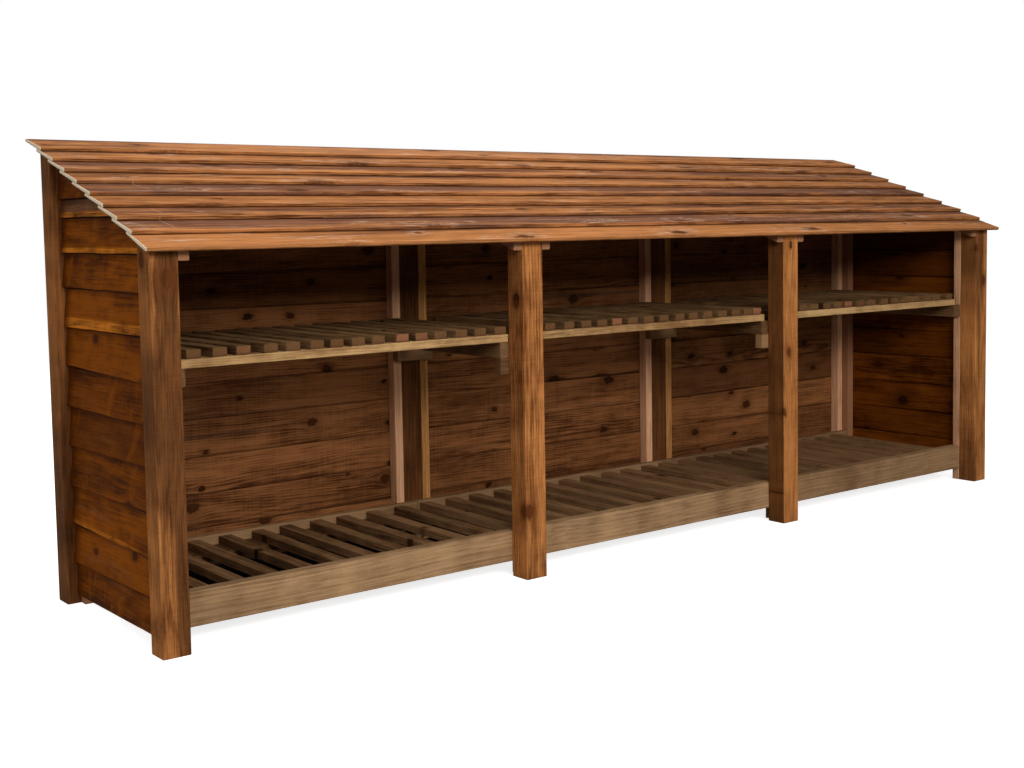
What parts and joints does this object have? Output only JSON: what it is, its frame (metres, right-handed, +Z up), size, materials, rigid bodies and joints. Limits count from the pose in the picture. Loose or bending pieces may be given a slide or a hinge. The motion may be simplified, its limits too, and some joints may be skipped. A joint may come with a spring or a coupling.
{
  "type": "log store",
  "caption": "Open-fronted timber log store with lapped-board walls, a lean-to roof, a slatted floor and a slatted shelf between square posts",
  "frame": {"origin": "on the ground, centred under the roof", "axes": "+Z up, +X along the length of the store, -Y out of the open front"},
  "size_m": [3.339, 0.783, 1.2455],
  "materials": {
    "posts": "satin",
    "wall_boards": "satin",
    "battens": "satin",
    "roof_boards": "satin",
    "floor_rails": "satin",
    "floor_slats": "satin",
    "shelf_rails": "satin",
    "shelf_slats": "satin"
  },
  "bodies": {
    "root": {"front_post_1": "posts", "front_post_2": "posts", "front_post_3": "posts", "front_post_4": "posts", "back_post_1": "posts", "back_post_2": "posts", "back_post_3": "posts", "back_post_4": "posts", "left_wall_battens": "battens", "right_wall_battens": "battens", "left_wall_boards": "wall_boards", "right_wall_boards": "wall_boards", "back_battens_1": "battens", "back_battens_2": "battens", "back_battens_3": "battens", "back_boards_1": "wall_boards", "back_boards_2": "wall_boards", "back_boards_3": "wall_boards", "rafters_1": "battens", "rafters_2": "battens", "rafters_3": "battens", "rafters_4": "battens", "roof_boards": "roof_boards", "floor_front_rails": "floor_rails", "floor_back_rails": "floor_rails", "floor_front_bearer": "floor_slats", "floor_back_bearer": "floor_slats", "front_leg_blocks": "floor_rails", "back_leg_blocks": "floor_rails", "floor_slats_1": "floor_slats", "floor_slats_2": "floor_slats", "floor_slats_3": "floor_slats", "shelf_bearers_1": "shelf_slats", "shelf_bearers_2": "shelf_slats", "shelf_bearers_3": "shelf_slats", "shelf_bearers_4": "shelf_slats", "front_shelf_cleats": "shelf_slats", "back_shelf_cleats": "shelf_slats", "shelf_front_rails": "shelf_rails", "shelf_back_rails": "shelf_rails", "shelf_slats_1": "shelf_slats", "shelf_slats_2": "shelf_slats", "shelf_slats_3": "shelf_slats"}
  },
  "joints": []
}
